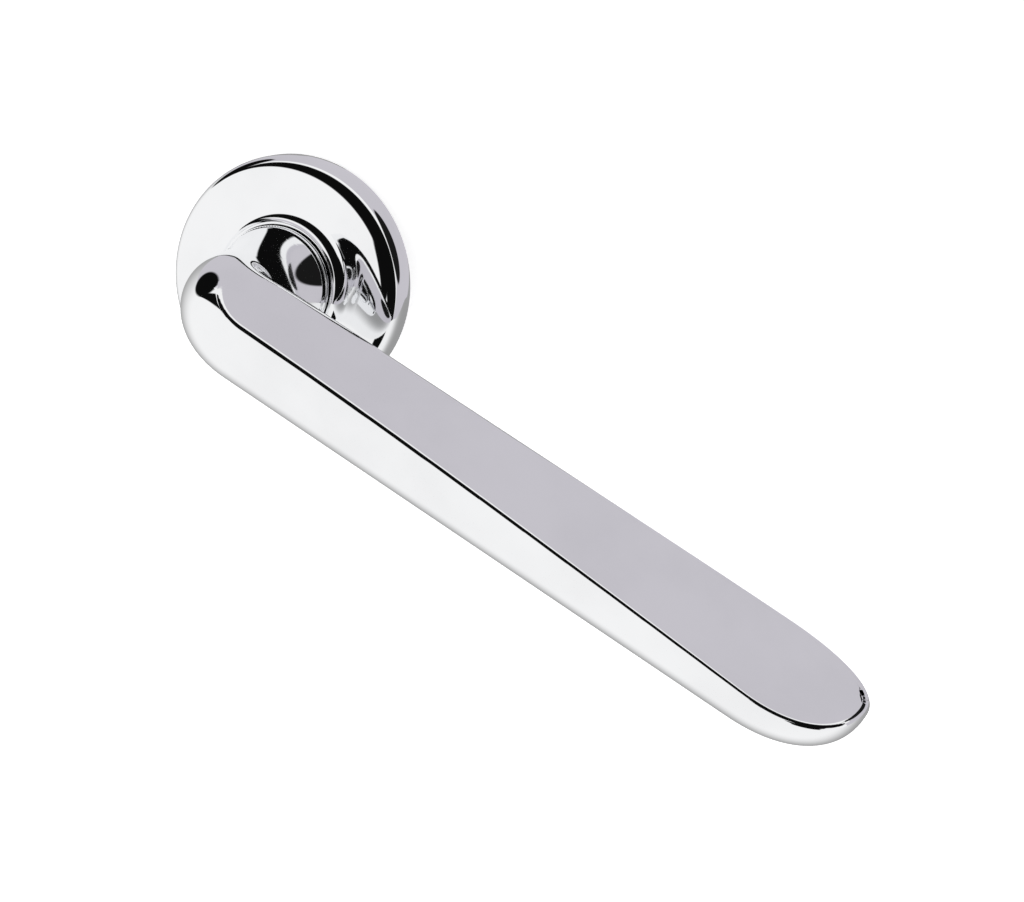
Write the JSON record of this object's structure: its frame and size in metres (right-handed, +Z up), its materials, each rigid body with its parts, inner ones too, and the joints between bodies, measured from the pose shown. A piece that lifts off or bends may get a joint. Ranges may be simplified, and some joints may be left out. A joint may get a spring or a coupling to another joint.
{
  "type": "door lever handle",
  "caption": "Polished chrome door lever on a round domed rose, with a return spring, bearing bushes and a square spindle behind it.",
  "frame": {"origin": "spindle axis in the door face, at the back of the base plate", "axes": "+X along the grip towards its tip, -Y out of the door towards the hand, +Z up"},
  "size_m": [0.165, 0.085, 0.05],
  "materials": {
    "polished_chrome": "mirror-polished chrome plate on a zinc casting",
    "black_steel": "black oxide",
    "zinc_plated_steel": "bright zinc plate",
    "spring_steel": "oiled spring steel",
    "zinc_casting": "raw die casting",
    "nylon": "natural nylon"
  },
  "bodies": {
    "rose_base": {"base_plate": "zinc_casting", "upper_post": "zinc_plated_steel", "lower_post": "zinc_plated_steel", "front_bush": "nylon", "rest_stop_pin": "spring_steel", "end_stop_pin": "spring_steel", "spring_cup": "zinc_plated_steel", "cup_screw_1": "black_steel", "cup_screw_2": "black_steel", "cup_screw_3": "black_steel", "rear_bush": "nylon", "snap_ring": "spring_steel", "return_spring": "spring_steel", "wave_washer": "spring_steel"},
    "lever_body": {"lever": "polished_chrome", "grub_screw": "black_steel", "square_spindle": "zinc_plated_steel", "stop_plate": "zinc_plated_steel", "drive_cam": "zinc_casting", "retaining_ring": "black_steel"},
    "cover": {"rose_cover": "polished_chrome", "neck_ring": "nylon"}
  },
  "joints": [
    {"name": "lever_turn", "type": "hinge", "parent": "rose_base", "child": "lever_body", "pos_m": [0, 0, 0], "axis": [0, 1, 0], "range_deg": [0, 45], "stiffness_Nm_per_rad": 0.8, "springref_deg": -34.38, "deforming": ["return_spring"]},
    {"name": "cover_slide", "type": "slide", "parent": "rose_base", "child": "cover", "axis": [0, -1, 0], "range_m": [0, 0.012]}
  ]
}
